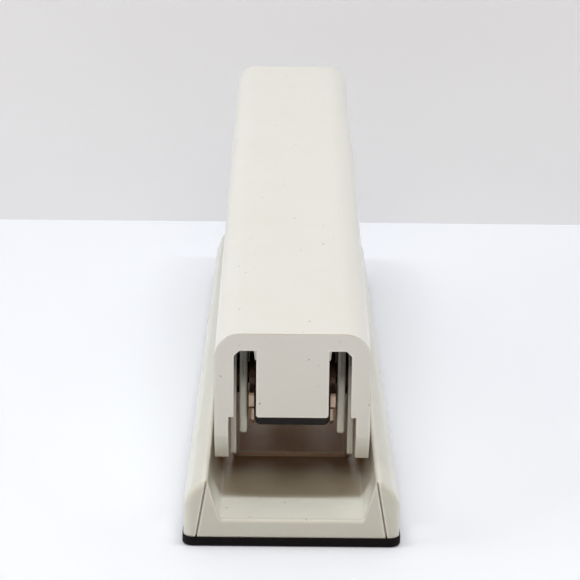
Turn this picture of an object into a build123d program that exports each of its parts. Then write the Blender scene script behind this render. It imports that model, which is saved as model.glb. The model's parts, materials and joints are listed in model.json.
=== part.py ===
"""Hand-operated full-strip desk stapler, as an assembly of separate pieces.

Millimetres, +Z up, +Y from the hinge end to the stapling nose, +X to the right.
The origin is at the bottom centre of the rubber pad that the stapler stands on.

Every piece is drawn with Y counted from the hinge pin. Pieces of the base have Z
counted from the table. Pieces of the upper body (cover, arm, magazine) have Z
counted from the pin and are drawn level, then turned nose up to their rest angle.
"""

from build123d import *
import os

os.makedirs("parts", exist_ok=True)

# Hinge and rest pose
PIN_RADIUS = 2.0
PIN_HEIGHT = 24.5
REST_TILT = 5.9
RUNNING_GAP = 0.05

# Base
SHELL_LENGTH = 198.0
SHELL_HALF = 19.1
REAR_OVERHANG = 24.8
SHEET = 1.2
PAD_THICKNESS = 1.7
PAD_MARGIN = 0.2
RIDGE_HEIGHT = 12.3
SHOULDER_HEIGHT = 7.8
SHOULDER_TOP = 10.3
SHOULDER_STEP = 1.3
RIDGE_INNER = 14.86
RIDGE_OUTER = 15.3
TRAY_WALL_FOOT = 14.35
TRAY_WALL_FOOT_HEIGHT = 8.2
TRAY_FLOOR_HALF = 12.7
TRAY_FLOOR_HEIGHT = 5.0
PLATFORM_HALF = 11.6
PLATFORM_HEIGHT = 13.3
PLATFORM_START = 124.0
PLATFORM_END = 168.5
NOSE_LIP_HEIGHT = 7.5
REAR_ROUNDING = 1.2
SEAM_TOP = 14.75
SEAM_BOTTOM = 16.65
SEAM_WIDTH = 0.3
SEAM_DEPTH = 0.7

# Cover
COVER_HALF = 14.0
COVER_LENGTH = 185.0
COVER_REAR = -13.5
COVER_TOP = 13.1
COVER_BOTTOM = -12.5
COVER_NOSE_BOTTOM = -2.0
COVER_WALL = 1.6
COVER_CORNER = 4.8
COVER_NOSE_ROUNDING = 1.8
END_WALL = 2.0
END_WALL_BOTTOM = -3.1
SLOT_INNER = 6.5
SLOT_OUTER = 10.5
SLOT_TOP = 9.8
SLOT_CHAMFER = 1.0
TAB_ROUNDING = 0.5
RIB_BOTTOM = 7.0
RIB_LENGTH = 5.0
LEG_INNER = 11.5
LEG_BREAK = -6.8
LEG_FOOT_SETBACK = 3.0
LEG_DEPTH = 5.5
LEG_TOP = 8.0

# Press arm, an inverted channel under the cover
ARM_HALF = 9.6
ARM_SHEET = 1.4
ARM_TOP = 9.6
ARM_REAR = -7.0
ARM_NOSE = 163.0
ARM_BOTTOM = -9.5
FLANGE_HALF = 6.4

# Magazine
CHANNEL_HALF = 7.85
CHANNEL_SHEET = 0.9
CHANNEL_BOTTOM = -9.0
CHANNEL_TOP = -0.5
CHANNEL_REAR = -8.5
CHANNEL_NOSE = 164.6
DRIVER_SLOT_REAR = 162.0
NOSE_PLATE_TOP = 2.0
RAIL_HALF = 5.8
RAIL_SHEET = 0.8
RAIL_TOP = -2.4
RAIL_REAR = 12.0
RAIL_NOSE = 160.6
ROD_RADIUS = 0.75
ROD_HEIGHT = -5.2
ROD_REAR = 4.0
ROD_NOSE = 157.0
DRIVER_HALF = 6.45
DRIVER_SHEET = 0.6

# Hinge bracket
EAR_OUTER = 11.2
EAR_SHEET = 1.0
BRACKET_REAR = 8.5
BRACKET_FRONT = 52.0
BRACKET_EAR_FRONT = 30.0

# Anvil
ANVIL_Y = 160.7
ANVIL_STEM_RADIUS = 2.4
ANVIL_BUTTON_RADIUS = 5.0
CRIMP_ROW = 2.6
ANVIL_DEPTH = 9.0

PIN_Y = REAR_OVERHANG - SHELL_LENGTH / 2
BASE_PLACE = Pos(0, PIN_Y, 0)
UPPER_PLACE = Pos(0, PIN_Y, PIN_HEIGHT) * Rot(REST_TILT, 0, 0)


# Drawing helpers: an outline is a list of (first, second, corner radius)

def outline(plane, corners):
    points = [(a, b) for a, b, radius in corners]
    radii = [radius for a, b, radius in corners]
    return make_face(plane * FilletPolyline(points, radius=radii, close=True))


def sharp(points):
    return [(a, b, 0) for a, b in points]


def along_y(corners, start, end):
    """Solid with an X-Z outline, from start to end along Y."""
    return extrude(outline(Plane.XZ.offset(-start), corners), amount=end - start, dir=(0, 1, 0))


def along_x(corners, start, end):
    """Solid with a Y-Z outline, from start to end along X."""
    return extrude(outline(Plane.YZ.offset(start), corners), amount=end - start, dir=(1, 0, 0))


def along_z(corners, start, end):
    """Solid with an X-Y outline, from start to end along Z."""
    return extrude(outline(Plane.XY.offset(start), corners), amount=end - start, dir=(0, 0, 1))


def block(x0, x1, y0, y1, z0, z1):
    size = Box(x1 - x0, y1 - y0, z1 - z0)
    return Pos((x0 + x1) / 2, (y0 + y1) / 2, (z0 + z1) / 2) * size


def both_sides(shape):
    return shape + mirror(shape, about=Plane.YZ)


def rod_x(radius, x0, x1, y=0.0, z=0.0):
    return Pos((x0 + x1) / 2, y, z) * Rot(0, 90, 0) * Cylinder(radius, x1 - x0)


def rod_y(radius, y0, y1, x=0.0, z=0.0):
    return Pos(x, (y0 + y1) / 2, z) * Rot(90, 0, 0) * Cylinder(radius, y1 - y0)


def rod_z(radius, z0, z1, x=0.0, y=0.0):
    return Pos(x, y, (z0 + z1) / 2) * Cylinder(radius, z1 - z0)


def rivet(head_radius, shank_radius, head_height, z_top, z_bottom, x, y):
    """Upright rivet: domed head above z_top, shank down to z_bottom, flat tail below."""
    shank = rod_z(shank_radius, z_bottom, z_top, x, y)
    head = rod_z(head_radius, z_top, z_top + head_height, x, y)
    head = fillet(head.edges().sort_by(Axis.Z)[-1], head_height * 0.6)
    tail = rod_z(head_radius * 0.8, z_bottom - 0.5, z_bottom, x, y)
    return head + shank + tail


def coil(radius, wire, length, turns):
    """Open helical spring standing on Z = 0."""
    path = Helix(length / turns, length, radius)
    start = Plane(origin=path @ 0, z_dir=path % 0)
    return sweep(start * Circle(wire / 2), path=path, is_frenet=True)


def save(name, shape, place):
    solids = (place * shape).solids()
    result = solids[0] if len(solids) == 1 else Compound(children=list(solids))
    export_step(result, os.path.join("parts", name + ".step"))


# Base

ANVIL_BORE = rod_z(ANVIL_STEM_RADIUS + 0.08, 0, 20, 0, ANVIL_Y)
BRACKET_RIVETS = [(-7.0, 36.0), (7.0, 36.0), (-7.0, 47.0), (7.0, 47.0)]
LIFT_RIVET = (0.0, 41.0)
RIVET_SHANK = 1.5
LIFT_SPRING_SHEET = 0.6


def plan(inset, z0, z1, widen=0.0):
    """Upright solid with the base's plan: square hinge end, rounded nose."""
    half = SHELL_HALF - inset + widen
    rear = -REAR_OVERHANG + inset
    nose = SHELL_LENGTH - REAR_OVERHANG - inset
    corners = [(-half, rear, 2.0), (half, rear, 2.0), (half, nose, 14.0), (-half, nose, 14.0)]
    return along_z(corners, z0, z1)


def shell_body():
    """Pressed outer form with rounded shoulders and a lip that falls away at the nose."""
    corners = [
        (-SHELL_HALF, PAD_THICKNESS, 0),
        (SHELL_HALF, PAD_THICKNESS, 0),
        (SHELL_HALF, SHOULDER_HEIGHT, 1.4),
        (SHELL_HALF - SHOULDER_STEP, SHOULDER_TOP, 2.4),
        (RIDGE_OUTER, RIDGE_HEIGHT, 0.5),
        (-RIDGE_OUTER, RIDGE_HEIGHT, 0.5),
        (SHOULDER_STEP - SHELL_HALF, SHOULDER_TOP, 2.4),
        (-SHELL_HALF, SHOULDER_HEIGHT, 1.4),
    ]
    nose = SHELL_LENGTH - REAR_OVERHANG
    body = along_y(corners, -REAR_OVERHANG, nose) & plan(0, 0, RIDGE_HEIGHT + 1, 0.01)
    rear_rim = body.faces().sort_by(Axis.Y)[0].edges().filter_by(
        lambda edge: edge.center().Z > SHOULDER_HEIGHT)
    body = fillet(rear_rim, REAR_ROUNDING)
    slope = sharp([(nose - 12, 20), (nose - 7, RIDGE_HEIGHT), (nose, NOSE_LIP_HEIGHT), (nose + 5, 20)])
    fall = along_x(slope, -20, 20)
    return body - fall


def tray():
    """The trough between the ridges, open at the hinge end."""
    corners = [
        (-TRAY_FLOOR_HALF, TRAY_FLOOR_HEIGHT, 1.0),
        (TRAY_FLOOR_HALF, TRAY_FLOOR_HEIGHT, 1.0),
        (TRAY_WALL_FOOT, TRAY_WALL_FOOT_HEIGHT, 2.0),
        (RIDGE_INNER, RIDGE_HEIGHT, 0),
        (RIDGE_INNER, RIDGE_HEIGHT + 5, 0),
        (-RIDGE_INNER, RIDGE_HEIGHT + 5, 0),
        (-RIDGE_INNER, RIDGE_HEIGHT, 0),
        (-TRAY_WALL_FOOT, TRAY_WALL_FOOT_HEIGHT, 2.0),
    ]
    trough = along_y(corners, -REAR_OVERHANG - 1, PLATFORM_END)
    return trough


def platform():
    """Raised table at the nose that carries the anvil."""
    corners = [
        (PLATFORM_START - 6, TRAY_FLOOR_HEIGHT - 1, 0),
        (PLATFORM_END, TRAY_FLOOR_HEIGHT - 1, 0),
        (PLATFORM_END, PLATFORM_HEIGHT, 1.5),
        (PLATFORM_START, PLATFORM_HEIGHT, 3.0),
    ]
    table = along_x(corners, -PLATFORM_HALF, PLATFORM_HALF)
    return fillet(table.faces().sort_by(Axis.Z)[-1].edges().filter_by(Axis.Y), 0.8)


def underside():
    """Hollow under the pressed sheet, which leaves walls one sheet thick."""
    floor = TRAY_FLOOR_HEIGHT - SHEET
    corners = sharp([
        (-SHELL_HALF + SHEET, 0),
        (SHELL_HALF - SHEET, 0),
        (SHELL_HALF - SHEET, SHOULDER_HEIGHT - 1.0),
        (RIDGE_OUTER + 0.7, RIDGE_HEIGHT - 2.2),
        (TRAY_WALL_FOOT + SHEET, TRAY_WALL_FOOT_HEIGHT),
        (TRAY_FLOOR_HALF + 0.7, floor),
        (-TRAY_FLOOR_HALF - 0.7, floor),
        (-TRAY_WALL_FOOT - SHEET, TRAY_WALL_FOOT_HEIGHT),
        (-RIDGE_OUTER - 0.7, RIDGE_HEIGHT - 2.2),
        (-SHELL_HALF + SHEET, SHOULDER_HEIGHT - 1.0),
    ])
    hollow = along_y(corners, -REAR_OVERHANG, 165.0) & plan(SHEET, 0, RIDGE_HEIGHT)
    corners = sharp([
        (PLATFORM_START - 3, 0),
        (PLATFORM_END - SHEET, 0),
        (PLATFORM_END - SHEET, PLATFORM_HEIGHT - SHEET),
        (PLATFORM_START + 0.5, PLATFORM_HEIGHT - SHEET),
    ])
    return hollow + along_x(corners, SHEET - PLATFORM_HALF, PLATFORM_HALF - SHEET)


def corner_seam():
    """Open joint between the folded end flap and the side wall's return."""
    top, bottom = (SEAM_TOP, RIDGE_HEIGHT + 0.3), (SEAM_BOTTOM, PAD_THICKNESS)
    strip = [top, (top[0] + SEAM_WIDTH, top[1]), (bottom[0] + SEAM_WIDTH, bottom[1]), bottom]
    return along_y(sharp(strip), -REAR_OVERHANG - 1, -REAR_OVERHANG + SEAM_DEPTH)


def end_flap():
    """Gusset of the folded end, which closes the corner between the tray floor and the ridge."""
    corners = sharp([
        (TRAY_FLOOR_HALF - 0.4, TRAY_FLOOR_HEIGHT - 0.4),
        (TRAY_FLOOR_HALF, TRAY_FLOOR_HEIGHT),
        (RIDGE_INNER, RIDGE_HEIGHT),
        (RIDGE_INNER + 0.4, RIDGE_HEIGHT - 1.0),
        (TRAY_WALL_FOOT + 0.4, TRAY_FLOOR_HEIGHT - 0.4),
    ])
    return along_y(corners, -REAR_OVERHANG, -REAR_OVERHANG + SHEET)


def floor_holes(z0, z1):
    holes = rod_z(RIVET_SHANK, z0, z1, *LIFT_RIVET)
    for x, y in BRACKET_RIVETS:
        holes += rod_z(RIVET_SHANK, z0, z1, x, y)
    return holes


def base_shell():
    shell = shell_body() - tray()
    rear_edge = shell.faces().filter_by(Axis.Z).filter_by(
        lambda face: abs(face.center().Z - TRAY_FLOOR_HEIGHT) < 0.01)
    fold = rear_edge.edges().filter_by(Axis.X).sort_by(Axis.Y)[0]
    shell = fillet(fold, 0.6)
    shell = shell + platform() + both_sides(end_flap())
    shell = shell - underside() - both_sides(corner_seam())
    return shell - ANVIL_BORE - floor_holes(0, TRAY_FLOOR_HEIGHT + 1)


def base_pad():
    grown = plan(-PAD_MARGIN, 0, PAD_THICKNESS)
    grown = fillet(grown.edges().group_by(Axis.Z)[0], 0.5)
    return grown - rod_z(ANVIL_BUTTON_RADIUS + 0.8, -1, 5, 0, ANVIL_Y)


def hinge_bracket():
    """U bracket: a foot riveted to the tray floor and two ears for the pin."""
    floor = TRAY_FLOOR_HEIGHT
    top = PIN_HEIGHT + 8.5
    lower_rear = PIN_HEIGHT - 14.2
    corners = [
        (-5.5, top, 2.5),
        (-5.5, lower_rear, 1.0),
        (3.0, lower_rear - 0.6, 3.0),
        (BRACKET_REAR, floor, 0),
        (BRACKET_FRONT, floor, 0),
        (BRACKET_FRONT, floor + 2.5, 1.0),
        (BRACKET_EAR_FRONT, floor + 2.5, 8.0),
        (9.0, top, 4.0),
    ]
    ears = both_sides(along_x(corners, EAR_OUTER - EAR_SHEET, EAR_OUTER))
    foot = block(-EAR_OUTER, EAR_OUTER, BRACKET_REAR, BRACKET_FRONT, floor, floor + EAR_SHEET)
    bracket = ears + foot - rod_x(PIN_RADIUS, -15, 15, 0, PIN_HEIGHT)
    bends = bracket.edges().filter_by(Axis.Y).filter_by(
        lambda edge: abs(edge.center().Z - floor) < 0.01 and abs(edge.center().X) > 11)
    bracket = fillet(bends, 0.9)
    return bracket - floor_holes(0, floor + 2)


def bracket_rivets():
    top = TRAY_FLOOR_HEIGHT + EAR_SHEET
    bottom = TRAY_FLOOR_HEIGHT - SHEET
    rivets = [rivet(2.6, RIVET_SHANK, 0.8, top, bottom, x, y) for x, y in BRACKET_RIVETS]
    return Compound(children=rivets)


def lift_spring():
    """Leaf that pushes the magazine up, with a hook through the magazine floor."""
    low = TRAY_FLOOR_HEIGHT + EAR_SHEET
    thick = LIFT_SPRING_SHEET
    lower = [(36.0, low), (45.0, low), (56.0, low + 6.4), (66.0, low + 14.2), (73.0, low + 15.9)]
    upper = [(y - 0.3, z + thick) for y, z in lower[::-1]]
    leaf = along_x([(a, b, 0) for a, b in lower + upper], -4.0, 4.0)
    return leaf - rod_z(RIVET_SHANK, 0, 20, *LIFT_RIVET)


def lift_spring_rivet():
    top = TRAY_FLOOR_HEIGHT + EAR_SHEET + LIFT_SPRING_SHEET
    return rivet(2.4, RIVET_SHANK, 0.8, top, TRAY_FLOOR_HEIGHT - SHEET, *LIFT_RIVET)


# Pivot, drawn level about the pin

def pivot_pin():
    head = rod_x(3.0, EAR_OUTER, EAR_OUTER + 0.7)
    head = fillet(head.edges().sort_by(Axis.X)[-1], 0.3)
    pin = head + rod_x(PIN_RADIUS, -EAR_OUTER - 0.8, EAR_OUTER)
    groove = rod_x(PIN_RADIUS + 1, -EAR_OUTER - 0.55, -EAR_OUTER - 0.05) - rod_x(1.5, -13, 13)
    return pin - groove


def pin_clip():
    """Open retaining ring in the pin's groove."""
    ring = rod_x(3.2, -EAR_OUTER - 0.5, -EAR_OUTER - 0.1) - rod_x(1.5, -13, 13)
    return ring - block(-13, 13, -0.9, 0.9, -5, 0)


def pivot_washers():
    gap = EAR_OUTER - EAR_SHEET - ARM_HALF
    start = ARM_HALF + 0.05
    washer = rod_x(3.8, start, start + gap - 0.1) - rod_x(PIN_RADIUS, 0, 15)
    return both_sides(washer)


# Anvil

def anvil_plate():
    """Plate with two rows of crimping pockets, one row used at a time."""
    bottom = PLATFORM_HEIGHT
    top = bottom + 1.5
    rear, front = ANVIL_Y - ANVIL_DEPTH / 2, ANVIL_Y + ANVIL_DEPTH / 2
    corners = [(-8.5, rear, 1.6), (8.5, rear, 1.6), (8.5, front, 1.6), (-8.5, front, 1.6)]
    plate = along_z(corners, bottom, top)
    plate = chamfer(plate.faces().sort_by(Axis.Z)[-1].edges(), 0.3)
    for row, centre in ((CRIMP_ROW, 3.4), (-CRIMP_ROW, 4.6)):
        for side in (-1, 1):
            pocket = Pos(side * centre, ANVIL_Y + row, top + 2.6) * Rot(90, 0, 0) * Cylinder(3.3, 1.2)
            plate -= pocket
    return plate - rod_z(1.5, 0, 20, 0, ANVIL_Y)


def anvil_stem():
    top = PLATFORM_HEIGHT
    collar = rod_z(ANVIL_STEM_RADIUS, 2.4, top, 0, ANVIL_Y)
    neck = rod_z(1.5, top, top + 1.4, 0, ANVIL_Y)
    return collar + neck


def anvil_button():
    """Finger button under the base, on the foot of the stem."""
    button = rod_z(ANVIL_BUTTON_RADIUS, 0.6, 2.4, 0, ANVIL_Y)
    button = fillet(button.edges().group_by(Axis.Z)[0], 0.6)
    return button - Pos(0, ANVIL_Y, -10.9) * Sphere(11.8)


def anvil_collar():
    ring = rod_z(5.6, 2.45, 3.05, 0, ANVIL_Y) - rod_z(ANVIL_STEM_RADIUS + 0.06, 0, 9, 0, ANVIL_Y)
    return ring


def anvil_spring():
    length = PLATFORM_HEIGHT - SHEET - 3.05 - 0.9
    return Pos(0, ANVIL_Y, 3.05 + 0.45) * coil(3.9, 0.7, length, 4.5)


# Magazine, drawn level about the pin

RAIL_RIVETS = [(0.0, 18.0), (0.0, 154.0)]


def magazine_channel():
    """Bare steel U channel; its walls rise into two ears that turn on the pin."""
    corners = [
        (CHANNEL_REAR, -6.0, 0.5),
        (CHANNEL_REAR, -3.6, 0),
        (CHANNEL_REAR + 0.8, -3.6, 0),
        (CHANNEL_REAR + 0.8, -3.2, 0),
        (CHANNEL_REAR, -3.2, 0),
        (CHANNEL_REAR, CHANNEL_TOP, 0.5),
        (-4.6, CHANNEL_TOP, 0),
        (-4.2, 4.4, 3.0),
        (4.6, 4.4, 3.0),
        (11.0, CHANNEL_TOP, 4.0),
        (CHANNEL_NOSE, CHANNEL_TOP, 0),
        (CHANNEL_NOSE, CHANNEL_BOTTOM, 0),
        (-3.0, CHANNEL_BOTTOM, 1.5),
    ]
    wall = along_x(corners, CHANNEL_HALF - CHANNEL_SHEET, CHANNEL_HALF)
    inner = CHANNEL_HALF - CHANNEL_SHEET
    floor = block(-inner, inner, -1.0, DRIVER_SLOT_REAR, CHANNEL_BOTTOM, CHANNEL_BOTTOM + CHANNEL_SHEET)
    channel = both_sides(wall) + floor
    bends = channel.edges().filter_by(Axis.Y).filter_by(
        lambda edge: abs(edge.center().Z - CHANNEL_BOTTOM) < 0.01 and abs(edge.center().X) > inner)
    channel = fillet(bends, 0.7)
    channel -= rod_x(PIN_RADIUS + RUNNING_GAP, -15, 15)
    channel -= block(-4.4, 4.4, 64.5, 75.5, CHANNEL_BOTTOM - 1, CHANNEL_BOTTOM + 1)
    for x, y in RAIL_RIVETS:
        channel -= rod_z(1.0, CHANNEL_BOTTOM - 1, 0, x, y)
    return channel


def spacer_tube():
    inner = CHANNEL_HALF - CHANNEL_SHEET
    return rod_x(3.0, -inner, inner) - rod_x(PIN_RADIUS + RUNNING_GAP, -15, 15)


def end_block():
    """Black plastic plug between the walls, which anchors the follower's rod."""
    inner = CHANNEL_HALF - CHANNEL_SHEET - 0.1
    corners = [(-inner, -7.0, 1.2), (inner, -7.0, 1.2), (inner, -3.2, 0), (-inner, -3.2, 0)]
    plug = along_y(corners, -8.0, -1.1)
    tongue = block(-4.8, 4.8, -1.1, 12.0, -7.0, -3.2)
    return plug + tongue - rod_y(ROD_RADIUS, ROD_REAR, 13.0, 0, ROD_HEIGHT)


def core_rail():
    """Inverted channel that the staples straddle, slotted for the follower."""
    bottom = CHANNEL_BOTTOM + CHANNEL_SHEET
    inner = RAIL_HALF - RAIL_SHEET
    walls = both_sides(block(inner, RAIL_HALF, RAIL_REAR, RAIL_NOSE, bottom, RAIL_TOP))
    web = block(-inner, inner, RAIL_REAR, RAIL_NOSE, RAIL_TOP - RAIL_SHEET, RAIL_TOP)
    rail = walls + web
    crests = rail.edges().filter_by(Axis.Y).filter_by(
        lambda edge: abs(edge.center().Z - RAIL_TOP) < 0.01 and abs(edge.center().X) > inner)
    rail = fillet(crests, 0.4)
    for x, y in RAIL_RIVETS:
        tab = block(-inner, inner, y - 4, y + 4, bottom, bottom + RAIL_SHEET)
        rail += tab - rod_z(1.0, bottom - 1, bottom + 2, x, y)
    return rail - block(-1.1, 1.1, 26.0, 152.0, RAIL_TOP - 2, RAIL_TOP + 1)


def rail_rivets():
    bottom = CHANNEL_BOTTOM
    top = bottom + CHANNEL_SHEET + RAIL_SHEET
    rivets = []
    for x, y in RAIL_RIVETS:
        head = rod_z(1.8, top, top + 0.35, x, y)
        head = fillet(head.edges().sort_by(Axis.Z)[-1], 0.2)
        rivets.append(head + rod_z(1.0, bottom, top, x, y))
    return Compound(children=rivets)


def magazine_nose():
    """Front plate that closes the driver slot, with folded ears over the walls' ends."""
    corners = [
        (-CHANNEL_HALF, CHANNEL_BOTTOM, 0.6),
        (CHANNEL_HALF, CHANNEL_BOTTOM, 0.6),
        (CHANNEL_HALF, NOSE_PLATE_TOP, 1.5),
        (-CHANNEL_HALF, NOSE_PLATE_TOP, 1.5),
    ]
    face = along_y(corners, CHANNEL_NOSE, CHANNEL_NOSE + 1.0)
    return fillet(face.faces().sort_by(Axis.Y)[-1].edges(), 0.25)


def follower_rod():
    return rod_y(ROD_RADIUS, ROD_REAR, ROD_NOSE, 0, ROD_HEIGHT)


def rod_clip():
    """Block in the rail's nose that holds the front end of the rod."""
    clip = block(-4.9, 4.9, 157.5, RAIL_NOSE, -7.2, -3.3)
    collar = rod_y(1.8, 156.0, 157.5, 0, ROD_HEIGHT)
    return clip + collar - rod_y(ROD_RADIUS, 154.0, ROD_NOSE, 0, ROD_HEIGHT)


def follower():
    """Saddle that pushes the staples, with a lug through the rail's slot."""
    front, back = 151.5, 130.0
    half = RAIL_HALF + 0.85
    saddle = block(-half, half, back, front, -7.8, -1.2)
    saddle -= block(-RAIL_HALF - 0.2, RAIL_HALF + 0.2, back - 1, front + 1, -9, -2.2)
    saddle = fillet(saddle.edges().filter_by(Axis.Y).group_by(Axis.Z)[-1], 0.5)
    lug = block(-0.9, 0.9, 138.0, 144.0, -3.5, -2.2)
    hub = rod_y(2.2, 137.0, 145.0, 0, ROD_HEIGHT) & block(-3, 3, 130, 150, -7.1, -3.4)
    grip = [(136.0, -1.3, 0), (144.0, -1.3, 0), (141.5, 0.9, 0.6), (138.5, 0.9, 0.6)]
    handle = along_x(grip, -3.0, 3.0)
    return saddle + lug + hub + handle - rod_y(0.8, 130.0, 150.0, 0, ROD_HEIGHT)


def follower_spring():
    start, end = 12.4, 136.6
    return Pos(0, start, ROD_HEIGHT) * Rot(-90, 0, 0) * coil(1.45, 0.4, end - start, 36)


# Cover and press arm, drawn level about the pin

SCREW_PLACES = [(0.0, 48.0), (0.0, 132.0)]
SPRING_RIVET_PLACE = (0.0, 24.0)
SCREW_RADIUS = 1.1
DRIVER_RIVET_SIDES = (-3.2, 3.2)
DRIVER_RIVET_HEIGHT = 6.0
DRIVER_RIVET_SHANK = 0.9
ARM_SPRING_SHEET = 0.5


def cover_side(shrink):
    """Side outline of the cover: cut-back rear foot, lower edge rising to the nose."""
    nose = COVER_REAR + COVER_LENGTH
    return [
        (COVER_REAR + shrink, COVER_TOP - shrink, 0),
        (COVER_REAR + shrink, LEG_BREAK, 0.6),
        (COVER_REAR + LEG_FOOT_SETBACK + shrink, COVER_BOTTOM, 0.8),
        (20.0, COVER_BOTTOM, 6.0),
        (nose - shrink, COVER_NOSE_BOTTOM, 0),
        (nose - shrink, COVER_TOP - shrink, 0),
    ]


def cover_form(half, top, corner, start, end):
    bottom = COVER_BOTTOM - 3
    corners = [(-half, bottom, 0), (half, bottom, 0), (half, top, corner), (-half, top, corner)]
    return along_y(corners, start, end)


def end_wall_cut():
    """Two open-bottomed slots, and the wider mouth between the legs."""
    slot = [
        (SLOT_INNER, END_WALL_BOTTOM, 0),
        (SLOT_INNER, SLOT_TOP, 0),
        (SLOT_OUTER - SLOT_CHAMFER, SLOT_TOP, 0.5),
        (SLOT_OUTER, SLOT_TOP - SLOT_CHAMFER, 0.5),
        (SLOT_OUTER, END_WALL_BOTTOM, 0),
    ]
    rear = COVER_REAR - 1
    front = COVER_REAR + END_WALL + 0.5
    mouth = block(-LEG_INNER, LEG_INNER, rear, front, COVER_BOTTOM - 5, END_WALL_BOTTOM)
    return mouth + both_sides(along_y(slot, rear, front))


def tab_rib():
    """Stiffening rib behind each edge of the centre tab."""
    top = COVER_TOP - COVER_WALL
    corners = [
        (SLOT_INNER - 0.5, top, 0),
        (SLOT_INNER - 0.5, RIB_BOTTOM, 0),
        (SLOT_INNER + 0.3, RIB_BOTTOM, 0.2),
        (SLOT_INNER + 0.7, top, 0),
    ]
    front = COVER_REAR + END_WALL
    return along_y(corners, front, front + RIB_LENGTH)


def cover_leg():
    """Thick rear edge of the side wall, which reads as a leg beside the mouth."""
    rear = COVER_REAR + 0.2
    front = COVER_REAR + LEG_DEPTH
    leg = block(LEG_INNER, COVER_HALF - 1, rear, front, COVER_BOTTOM - 2, LEG_TOP)
    return leg & along_x(cover_side(0), -20, 20)


def cover_shell():
    nose = COVER_REAR + COVER_LENGTH
    outer = cover_form(COVER_HALF, COVER_TOP, COVER_CORNER, COVER_REAR, nose)
    outer = outer & along_x(cover_side(0), -20, 20)
    rim = outer.faces().sort_by(Axis.Y)[-1].edges().filter_by(
        lambda edge: edge.center().Z > COVER_NOSE_BOTTOM + 1)
    outer = fillet(rim, COVER_NOSE_ROUNDING)
    half = COVER_HALF - COVER_WALL
    shell = outer - cover_form(half, COVER_TOP - COVER_WALL, COVER_CORNER - COVER_WALL,
                               COVER_REAR + END_WALL, nose - COVER_WALL)
    shell = shell + both_sides(cover_leg()) + both_sides(tab_rib()) - end_wall_cut()
    tab_corners = shell.edges().filter_by(Axis.Y).filter_by(
        lambda edge: abs(edge.center().Z - END_WALL_BOTTOM) < 0.01 and abs(edge.center().X) < SLOT_OUTER)
    shell = fillet(tab_corners, TAB_ROUNDING)
    top = COVER_TOP - COVER_WALL
    for x, y in SCREW_PLACES:
        shell += rod_z(3.2, ARM_TOP, top + 0.2, x, y) - rod_z(SCREW_RADIUS, 0, top, x, y)
    return shell


def press_arm():
    """Painted steel channel under the cover, carrying the driver at its nose."""
    side = [
        (ARM_REAR, ARM_TOP, 0),
        (ARM_REAR, ARM_BOTTOM, 1.2),
        (12.0, ARM_BOTTOM, 4.0),
        (34.0, -1.5, 12.0),
        (ARM_NOSE, 2.6, 0),
        (ARM_NOSE, ARM_TOP, 0),
    ]
    inner = ARM_HALF - ARM_SHEET
    web_rear = COVER_REAR + END_WALL + 5.5
    walls = both_sides(along_x(side, inner, ARM_HALF))
    web = block(-inner, inner, web_rear, ARM_NOSE, ARM_TOP - ARM_SHEET, ARM_TOP)
    flange_rear = ARM_NOSE - ARM_SHEET
    flange = block(-FLANGE_HALF, FLANGE_HALF, flange_rear, ARM_NOSE, 3.2, ARM_TOP - ARM_SHEET)
    arm = walls + web + flange
    crests = arm.edges().filter_by(Axis.Y).filter_by(
        lambda edge: abs(edge.center().Z - ARM_TOP) < 0.01 and abs(edge.center().X) > inner)
    arm = fillet(crests, 1.0)
    feet = arm.edges().filter_by(Axis.Y).filter_by(
        lambda edge: abs(edge.center().Z - ARM_BOTTOM) < 0.01)
    arm = fillet(feet, 0.5)
    arm -= rod_x(PIN_RADIUS + RUNNING_GAP, -15, 15)
    notch_half = CHANNEL_HALF + 0.3
    arm -= block(-notch_half, notch_half, ARM_REAR - 1, 6.0, ARM_TOP - 3, ARM_TOP + 1)
    for x, y in SCREW_PLACES + [SPRING_RIVET_PLACE]:
        arm -= rod_z(SCREW_RADIUS, 0, 20, x, y)
    for x in DRIVER_RIVET_SIDES:
        arm -= rod_y(DRIVER_RIVET_SHANK, ARM_NOSE - 3, ARM_NOSE + 1, x, DRIVER_RIVET_HEIGHT)
    return arm


def cover_screws():
    underside_z = ARM_TOP - ARM_SHEET
    screws = []
    for x, y in SCREW_PLACES:
        head = rod_z(2.4, underside_z - 1.4, underside_z, x, y)
        head = fillet(head.edges().sort_by(Axis.Z)[0], 0.5)
        cross = block(x - 1.3, x + 1.3, y - 0.25, y + 0.25, underside_z - 2, underside_z - 0.8)
        cross += block(x - 0.25, x + 0.25, y - 1.3, y + 1.3, underside_z - 2, underside_z - 0.8)
        screws.append(head - cross + rod_z(SCREW_RADIUS, underside_z, COVER_TOP - COVER_WALL, x, y))
    return Compound(children=screws)


def driver_blade():
    blade = block(-DRIVER_HALF, DRIVER_HALF, ARM_NOSE, ARM_NOSE + DRIVER_SHEET, -0.9, 8.0)
    for x in DRIVER_RIVET_SIDES:
        blade -= rod_y(DRIVER_RIVET_SHANK, ARM_NOSE - 1, ARM_NOSE + 2, x, DRIVER_RIVET_HEIGHT)
    return blade


def driver_rivets():
    rivets = []
    front = ARM_NOSE + DRIVER_SHEET
    back = ARM_NOSE - ARM_SHEET
    for x in DRIVER_RIVET_SIDES:
        head = rod_y(1.7, front, front + 0.35, x, DRIVER_RIVET_HEIGHT)
        tail = rod_y(1.5, back - 0.4, back, x, DRIVER_RIVET_HEIGHT)
        shank = rod_y(DRIVER_RIVET_SHANK, back, front, x, DRIVER_RIVET_HEIGHT)
        rivets.append(head + shank + tail)
    return Compound(children=rivets)


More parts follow.
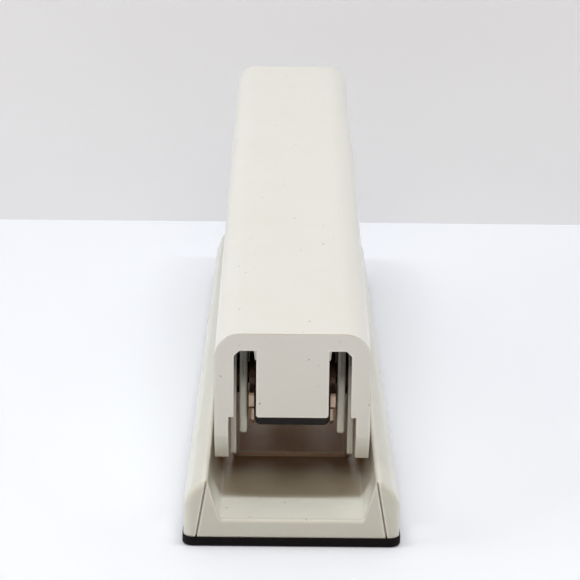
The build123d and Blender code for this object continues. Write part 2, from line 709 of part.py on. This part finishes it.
def arm_spring():
    """Forked leaf that pushes the arm up off the magazine walls."""
    thick = ARM_SPRING_SHEET
    low = ARM_TOP - ARM_SHEET - thick
    lower = [(18.0, low), (30.0, low), (46.0, 3.0), (60.0, CHANNEL_TOP), (66.0, CHANNEL_TOP + 0.8)]
    upper = [(y + 0.25, z + thick) for y, z in lower[::-1]]
    leaf = along_x(sharp(lower + upper), -7.8, 7.8)
    fork = block(-6.7, 6.7, 36.0, 70.0, -3, 12)
    return leaf - fork - rod_z(SCREW_RADIUS, 0, 20, *SPRING_RIVET_PLACE)


def arm_spring_rivet():
    under = ARM_TOP - ARM_SHEET - ARM_SPRING_SHEET
    head = rod_z(2.2, under - 0.7, under, *SPRING_RIVET_PLACE)
    head = fillet(head.edges().sort_by(Axis.Z)[0], 0.4)
    shank = rod_z(SCREW_RADIUS, under, ARM_TOP, *SPRING_RIVET_PLACE)
    return head + shank + rod_z(1.9, ARM_TOP, ARM_TOP + 0.5, *SPRING_RIVET_PLACE)


BASE_PIECES = [
    base_shell, base_pad, hinge_bracket, bracket_rivets, lift_spring, lift_spring_rivet,
    anvil_plate, anvil_stem, anvil_button, anvil_collar, anvil_spring,
]
LEVEL_PIVOT_PIECES = [pivot_pin, pin_clip, pivot_washers]
UPPER_PIECES = [
    magazine_channel, magazine_nose, spacer_tube, end_block, core_rail, rail_rivets,
    follower_rod, rod_clip, follower, follower_spring,
    cover_shell, press_arm, cover_screws, driver_blade, driver_rivets, arm_spring, arm_spring_rivet,
]

for piece in BASE_PIECES:
    save(piece.__name__, piece(), BASE_PLACE)
for piece in LEVEL_PIVOT_PIECES:
    save(piece.__name__, piece(), Pos(0, PIN_Y, PIN_HEIGHT))
for piece in UPPER_PIECES:
    save(piece.__name__, piece(), UPPER_PLACE)
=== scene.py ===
"""Looks of a hand-operated desk stapler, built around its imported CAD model.

Metres, in the CAD frame: +Z up, +Y from the hinge end to the nose, +X to the right.
"""
import json
import math

import bpy
from mathutils import Matrix, Vector

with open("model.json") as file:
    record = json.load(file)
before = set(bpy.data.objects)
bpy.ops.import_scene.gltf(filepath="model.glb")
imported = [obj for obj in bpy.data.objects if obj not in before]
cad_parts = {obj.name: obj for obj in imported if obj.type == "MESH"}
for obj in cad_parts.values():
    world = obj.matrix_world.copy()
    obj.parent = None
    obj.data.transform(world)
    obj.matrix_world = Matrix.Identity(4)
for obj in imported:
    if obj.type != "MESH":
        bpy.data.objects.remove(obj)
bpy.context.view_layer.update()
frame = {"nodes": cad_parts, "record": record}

MM = 0.001

# Camera, fitted to the object at the size assumed for it; lens and length trade off
CAMERA_PLACE = Vector((-1.95, -443.3, 139.4)) * MM
CAMERA_PITCH = 15.04
CAMERA_YAW = 0.21
CAMERA_ROLL = 0.60
FOCAL_LENGTH = 129.7
SENSOR = 36.0

# Names for the object's coordinates in shaders; SIDE is the distance from the middle plane
Y, Z, SIDE = "Y", "Z", "side"

# Room
WALL_Y = 152 * MM
WALL_HEIGHT = 1.6
FLOOR_REACH = 8.0

# Lights: name, place, target, size, watts, colour
LIGHTS = [
    ("ceiling_tube", (0.0, -0.113, 0.9), (0, -0.113, 0), (0.8, 0.035), 3.35, (0.91, 0.975, 1.0)),
    ("rear_window", (0.0, -0.85, 0.85), (0, -0.085, 0), (0.9, 0.6), 2.3, (1.0, 0.85, 0.70)),
    ("left_window", (-1.1, -0.2, 0.45), (0, 0, 0.02), (0.8, 0.6), 4.2, (0.99, 1.0, 1.0)),
    ("right_bounce", (1.1, -0.2, 0.45), (0, 0, 0.02), (0.8, 0.6), 2.0, (0.98, 1.0, 1.0)),
]
ROOM_GLOW = (1.0, 0.81, 0.66)
ROOM_GLOW_STRENGTH = 0.20

# Paint details; the edge tint is a painted highlight: a paler tint along the edges, standing in for their
# glint
SPECK = (0.20, 0.17, 0.13)
CHIP = (0.10, 0.085, 0.07)
EDGE_HIGHLIGHT = (1.0, 0.97, 0.87)
EDGE_RADIUS = 0.45 * MM
EDGE_HIGHLIGHT_RADIUS = 0.6 * MM
# colour of painted shade on bare metal
SHADE_BROWN = (0.045, 0.022, 0.013)
DUST = (0.06, 0.052, 0.045)
DRAWN = (1, 0.1, 1)  # noise stretched along the length, as on drawn metal
STREAKED = (1, 0.15, 1)


# Shader helpers

class Shader:
    """A node material being built: add nodes, link them, set their constants."""

    def __init__(self, name):
        self.material = bpy.data.materials.new(name)
        self.material.use_nodes = True
        self.tree = self.material.node_tree
        self.tree.nodes.clear()
        self.output = self.tree.nodes.new("ShaderNodeOutputMaterial")
        self.bsdf = self.tree.nodes.new("ShaderNodeBsdfPrincipled")
        self.link(self.bsdf, "BSDF", self.output, "Surface")
        self.coords = self.tree.nodes.new("ShaderNodeTexCoord")

    def node(self, kind, **settings):
        made = self.tree.nodes.new("ShaderNode" + kind)
        for key, value in settings.items():
            setattr(made, key, value)
        return made

    def link(self, source, output, target, socket):
        self.tree.links.new(source.outputs[output], target.inputs[socket])

    def base(self, color, roughness, metallic=0.0, coat=0.0, coat_roughness=0.1, specular=0.5):
        self.bsdf.inputs["Base Color"].default_value = (*color, 1)
        self.bsdf.inputs["Roughness"].default_value = roughness
        self.bsdf.inputs["Metallic"].default_value = metallic
        self.bsdf.inputs["Coat Weight"].default_value = coat
        self.bsdf.inputs["Coat Roughness"].default_value = coat_roughness
        self.bsdf.inputs["Specular IOR Level"].default_value = specular

    def noise(self, scale, detail=4.0, roughness=0.5, stretch=(1, 1, 1)):
        """Noise in object space; scale is in features per metre."""
        mapping = self.node("Mapping")
        mapping.inputs["Scale"].default_value = stretch
        self.link(self.coords, "Object", mapping, "Vector")
        noise = self.node("TexNoise")
        noise.inputs["Scale"].default_value = scale
        noise.inputs["Detail"].default_value = detail
        noise.inputs["Roughness"].default_value = roughness
        self.link(mapping, "Vector", noise, "Vector")
        return noise, "Fac"

    def fade(self, source, low, high, out_low, out_high):
        """Number going from out_low to out_high as the source goes from low to high."""
        spread = self.node("MapRange")
        spread.inputs["From Min"].default_value = low
        spread.inputs["From Max"].default_value = high
        spread.inputs["To Min"].default_value = out_low
        spread.inputs["To Max"].default_value = out_high
        self.link(*source, spread, "Value")
        return spread, "Result"

    def mix(self, factor, first, second, mode="MIX"):
        """Colour mix; first and second are sources or plain colours, factor a source or number."""
        mix = self.node("Mix", data_type="RGBA", blend_type=mode)
        if isinstance(factor, tuple):
            self.link(*factor, mix, 0)
        else:
            mix.inputs[0].default_value = factor
        for value, socket in ((first, 6), (second, 7)):
            if isinstance(value[0], (int, float)):
                mix.inputs[socket].default_value = (*value, 1)
            else:
                self.tree.links.new(value[0].outputs[value[1]], mix.inputs[socket])
        return mix, 2

    def bump(self, source, strength, distance):
        """Fine relief from the source; distance in metres."""
        bump = self.node("Bump")
        bump.inputs["Strength"].default_value = strength
        bump.inputs["Distance"].default_value = distance
        self.link(*source, bump, "Height")
        self.link(bump, "Normal", self.bsdf, "Normal")

    def paint(self, source):
        self.tree.links.new(source[0].outputs[source[1]], self.bsdf.inputs["Base Color"])

    def rough(self, source):
        self.link(*source, self.bsdf, "Roughness")


def math_node(s, operation, *values):
    made = s.node("Math", operation=operation)
    for number, value in enumerate(values):
        if isinstance(value, tuple):
            s.tree.links.new(value[0].outputs[value[1]], made.inputs[number])
        else:
            made.inputs[number].default_value = value
    return made, "Value"


def coordinate(s, axis):
    split = s.node("SeparateXYZ")
    s.link(s.coords, "Object", split, "Vector")
    if axis == SIDE:
        return math_node(s, "ABSOLUTE", (split, "X"))
    return split, axis


def band(s, axis, none, full):
    """0 to 1 as the object's coordinate on an axis goes from none to full; mm."""
    return s.fade(coordinate(s, axis), none * MM, full * MM, 0.0, 1.0)


def all_bands(s, strength, bands):
    for place in bands:
        strength = math_node(s, "MULTIPLY", strength, band(s, *place))
    return strength


def soften(s, source, strength, distance, radius):
    """Fine relief, with edges that catch the light as if rounded."""
    edge = s.node("Bevel", samples=4)
    edge.inputs["Radius"].default_value = radius
    bump = s.node("Bump")
    bump.inputs["Strength"].default_value = strength
    bump.inputs["Distance"].default_value = distance
    s.link(*source, bump, "Height")
    s.link(edge, "Normal", bump, "Normal")
    s.link(bump, "Normal", s.bsdf, "Normal")
    s.link(edge, "Normal", s.bsdf, "Coat Normal")


def sharp_edges(s, radius):
    """0 on flat faces, rising to 1 along the sharp edges."""
    edge = s.node("Bevel", samples=4)
    edge.inputs["Radius"].default_value = radius
    face = s.node("NewGeometry")
    agreement = s.node("VectorMath", operation="DOT_PRODUCT")
    s.tree.links.new(edge.outputs["Normal"], agreement.inputs[0])
    s.tree.links.new(face.outputs["Normal"], agreement.inputs[1])
    return s.fade((agreement, "Value"), 0.998, 0.95, 0.0, 1.0)


def enamel(name, color, dirt, roughness, painted_shading=()):
    """Stove enamel: faint clouding, orange peel, specks and chips, painted light and shade by place, and a
    painted highlight along the sharp edges.

    Its tints by place, as (colour, bands), are painted light and shade.
    """
    s = Shader(name)
    s.base(color, roughness, coat=0.5, coat_roughness=0.12, specular=0.4)
    cloud = s.fade(s.noise(45, 5, 0.6), 0.35, 0.8, 0.0, 0.30)
    toned = s.mix(cloud, color, dirt)
    streaks = s.fade(s.noise(110, 4, 0.6, STREAKED), 0.5, 0.85, 0.0, 0.18)
    toned = s.mix(streaks, toned, dirt)
    # painted light and shade by place, laid over the paint's own tone
    for tint, bands in painted_shading:
        strength = s.fade(s.noise(220, 5, 0.6), 0.25, 0.7, 0.75, 1.0)
        toned = s.mix(all_bands(s, strength, bands), toned, tint)
    specks = s.fade(s.noise(900, 1.0, 0.5), 0.775, 0.80, 0.0, 0.6)
    toned = s.mix(specks, toned, SPECK)
    chips = s.fade(s.noise(260, 2.5, 0.7), 0.80, 0.81, 0.0, 0.85)
    toned = s.mix(chips, toned, CHIP)
    # painted highlight: paler paint along the sharp edges, in place of their glint
    s.paint(s.mix(sharp_edges(s, EDGE_HIGHLIGHT_RADIUS), toned, EDGE_HIGHLIGHT))
    s.rough(s.fade(s.noise(150, 4, 0.6), 0.3, 0.7, roughness - 0.05, roughness + 0.08))
    soften(s, s.noise(1300, 2, 0.5), 0.08, 0.05 * MM, EDGE_RADIUS)
    return s.material


def bare_metal(name, color, tarnish, roughness, stretch=(1, 1, 1), metallic=1.0, shade_bands=(), clean=None):
    """Bare or plated metal: blotchy tarnish and fine drawing lines along the stretched axis.

    The bands given for shade mark painted shade, which darkens the metal where all of them hold.
    clean is the colour away from the hinge, where the metal hasn't browned.
    """
    s = Shader(name)
    s.base(color, roughness, metallic=metallic)
    stain = s.fade(s.noise(260, 6, 0.65), 0.36, 0.72, 0.0, 0.6)
    toned = s.mix(stain, color, tarnish)
    if clean:
        toned = s.mix(band(s, Y, -62, -45), toned, clean)
    # painted shade: darker where all the shade bands hold
    if shade_bands:
        toned = s.mix(all_bands(s, 1.0, shade_bands), toned, SHADE_BROWN)
    s.paint(toned)
    s.rough(s.fade(s.noise(1600, 4, 0.6, stretch), 0.3, 0.7, roughness - 0.08, roughness + 0.12))
    s.bump(s.noise(2600, 4, 0.6, stretch), 0.15, 0.03 * MM)
    return s.material


def moulded(name, color, roughness, grain, specular=0.3):
    """Dark moulding with a fine grain and a little dust in patches."""
    s = Shader(name)
    s.base(color, roughness, specular=specular)
    dust = s.fade(s.noise(240, 6, 0.7), 0.55, 0.85, 0.0, 0.25)
    s.paint(s.mix(dust, color, DUST))
    s.rough(s.fade(s.noise(900, 3, 0.6), 0.3, 0.7, roughness - 0.06, roughness + 0.08))
    s.bump(s.noise(grain, 3, 0.6), 0.25, 0.06 * MM)
    return s.material


# Tints by place, as (colour, bands): the paint takes the colour where all of the bands hold; all of them
# are painted light or shade.
# TRAY_GLOW is no stain: it lightens the rear strip of the tray, in place of light left out.

TRAY_FLOOR_BANDS = [(SIDE, 14.8, 13.5), (Z, 12.5, 11.5)]
TRAY_GLOW = ((0.90, 0.91, 0.83), [(Y, -86.0, -87.5), (Y, -98.5, -97.8), *TRAY_FLOOR_BANDS])
# painted shade: the tray floor darkens from the edge of the cover's shadow inwards
TRAY_SHADE = ((0.56, 0.50, 0.38), [(Y, -87.5, -85.5), (Y, 60, -20), *TRAY_FLOOR_BANDS])
# painted shade: brown darkening of the tray floor deeper under the cover and magazine
TRAY_DEEP_SHADE = ((0.34, 0.20, 0.12), [(Y, -76.5, -70.5), (Y, 0, -30), *TRAY_FLOOR_BANDS])
# painted shade: warm brown tint on the bracket under the magazine
FOOT_WARM_SHADE = ((0.86, 0.60, 0.42), [(Y, -76, -66)])
# painted shade: the upper part of the bracket ears, shaded by the cover
EAR_SHADE = ((0.07, 0.04, 0.025), [(Z, 25, 28)])
# painted shade: the upper part of the press arm near the hinge, shaded by the cover
ARM_SHADE = ((0.05, 0.03, 0.02), [(Z, 23.5, 26.5), (Y, -55, -65)])
# painted shade on the zinc hinge parts, inside the cover
HINGE_SHADE_BAND = (Y, -55, -66)

# Materials, by the record's slots

MATERIALS = {
    "cover_paint": enamel("cover_enamel", (0.80, 0.80, 0.745), (0.74, 0.71, 0.63), 0.36),
    "base_paint": enamel("base_enamel", (0.66, 0.66, 0.575), (0.60, 0.575, 0.475), 0.36,
                         [TRAY_GLOW, TRAY_SHADE, TRAY_DEEP_SHADE]),
    "bracket_paint": enamel("bracket_enamel", (0.74, 0.735, 0.68), (0.58, 0.53, 0.45), 0.42,
                            [FOOT_WARM_SHADE, EAR_SHADE]),
    "arm_paint": enamel("arm_enamel", (0.70, 0.73, 0.66), (0.52, 0.52, 0.45), 0.45, [ARM_SHADE]),
    # rolled steel: painted shade on its upper part near the hinge, shaded by the cover
    "bare_steel": bare_metal("rolled_steel", (0.54, 0.41, 0.32), (0.30, 0.18, 0.12), 0.36, DRAWN, 0.9,
                             shade_bands=[(Z, 22, 25), (Y, -55, -65)], clean=(0.50, 0.49, 0.47)),
    "spring_steel": bare_metal("spring_steel", (0.30, 0.28, 0.26), (0.15, 0.12, 0.10), 0.35, DRAWN),
    "zinc": bare_metal("zinc_plate", (0.62, 0.58, 0.52), (0.40, 0.35, 0.29), 0.34,
                       shade_bands=[HINGE_SHADE_BAND]),
    "black_plastic": moulded("black_plastic", (0.010, 0.008, 0.007), 0.5, 3000),
    "pad_rubber": moulded("pad_rubber", (0.006, 0.005, 0.005), 0.7, 2200, 0.12),
}
slots = {row["node"]: row["material_slot"] for row in frame["record"]["subparts"]}
for name, node in frame["nodes"].items():
    node.data.materials.clear()
    node.data.materials.append(MATERIALS[slots[name]])


# Room, light and camera

def plane(name, corners, material):
    mesh = bpy.data.meshes.new(name)
    mesh.from_pydata(corners, [], [(0, 1, 2, 3)])
    made = bpy.data.objects.new(name, mesh)
    made.data.materials.append(material)
    bpy.context.scene.collection.objects.link(made)


def glowing_paper(name, color, glow):
    """Matt white, with a faint bluish glow standing in for light that the lamps here leave out."""
    s = Shader(name)
    s.base(color, 0.6, specular=0.3)
    s.bsdf.inputs["Emission Color"].default_value = (*glow, 1)
    s.bsdf.inputs["Emission Strength"].default_value = 0.1
    return s.material


def seen_from_front(name, color):
    """Matt paint that is clear from behind, so that the wall never hides the object."""
    s = Shader(name)
    s.base(color, 0.9, specular=0.1)
    side = s.node("NewGeometry")
    clear = s.node("BsdfTransparent")
    mix = s.node("MixShader")
    s.link(side, "Backfacing", mix, 0)
    s.tree.links.new(s.bsdf.outputs["BSDF"], mix.inputs[1])
    s.tree.links.new(clear.outputs["BSDF"], mix.inputs[2])
    s.link(mix, "Shader", s.output, "Surface")
    return s.material


reach = FLOOR_REACH
plane("floor", [(-reach, -reach, 0), (reach, -reach, 0), (reach, reach, 0), (-reach, reach, 0)],
      glowing_paper("floor_paper", (0.92, 0.955, 0.985), (0.30, 0.27, 0.6)))
plane("wall",
      [(-reach, WALL_Y, 0), (reach, WALL_Y, 0),
       (reach, WALL_Y, WALL_HEIGHT), (-reach, WALL_Y, WALL_HEIGHT)],
      seen_from_front("wall_paint", (0.91, 0.92, 0.945)))


def area_light(name, place, target, size, power, color):
    data = bpy.data.lights.new(name, "AREA")
    data.shape = "RECTANGLE"
    data.size, data.size_y = size
    data.energy = power
    data.color = color
    lamp = bpy.data.objects.new(name, data)
    lamp.location = place
    lamp.visible_camera = False
    lamp.rotation_euler = (Vector(target) - Vector(place)).to_track_quat("-Z", "Y").to_euler()
    bpy.context.scene.collection.objects.link(lamp)


for light in LIGHTS:
    area_light(*light)

world = bpy.data.worlds.new("room")
world.use_nodes = True
world.node_tree.nodes["Background"].inputs["Color"].default_value = (*ROOM_GLOW, 1)
world.node_tree.nodes["Background"].inputs["Strength"].default_value = ROOM_GLOW_STRENGTH
bpy.context.scene.world = world
bpy.context.scene.view_settings.view_transform = "Standard"

pitch, yaw, roll = (math.radians(a) for a in (CAMERA_PITCH, CAMERA_YAW, CAMERA_ROLL))
forward = Vector((math.sin(yaw) * math.cos(pitch), math.cos(yaw) * math.cos(pitch), -math.sin(pitch)))
level = Vector((math.cos(yaw), -math.sin(yaw), 0))
upright = level.cross(forward)
right = level * math.cos(roll) + upright * math.sin(roll)
up = upright * math.cos(roll) - level * math.sin(roll)
camera = bpy.data.objects.new("camera", bpy.data.cameras.new("camera"))
camera.data.lens = FOCAL_LENGTH
camera.data.sensor_width = SENSOR
camera.data.clip_end = 20
camera.matrix_world = Matrix.Translation(CAMERA_PLACE) @ Matrix((right, up, -forward)).transposed().to_4x4()
bpy.context.scene.collection.objects.link(camera)
bpy.context.scene.camera = camera
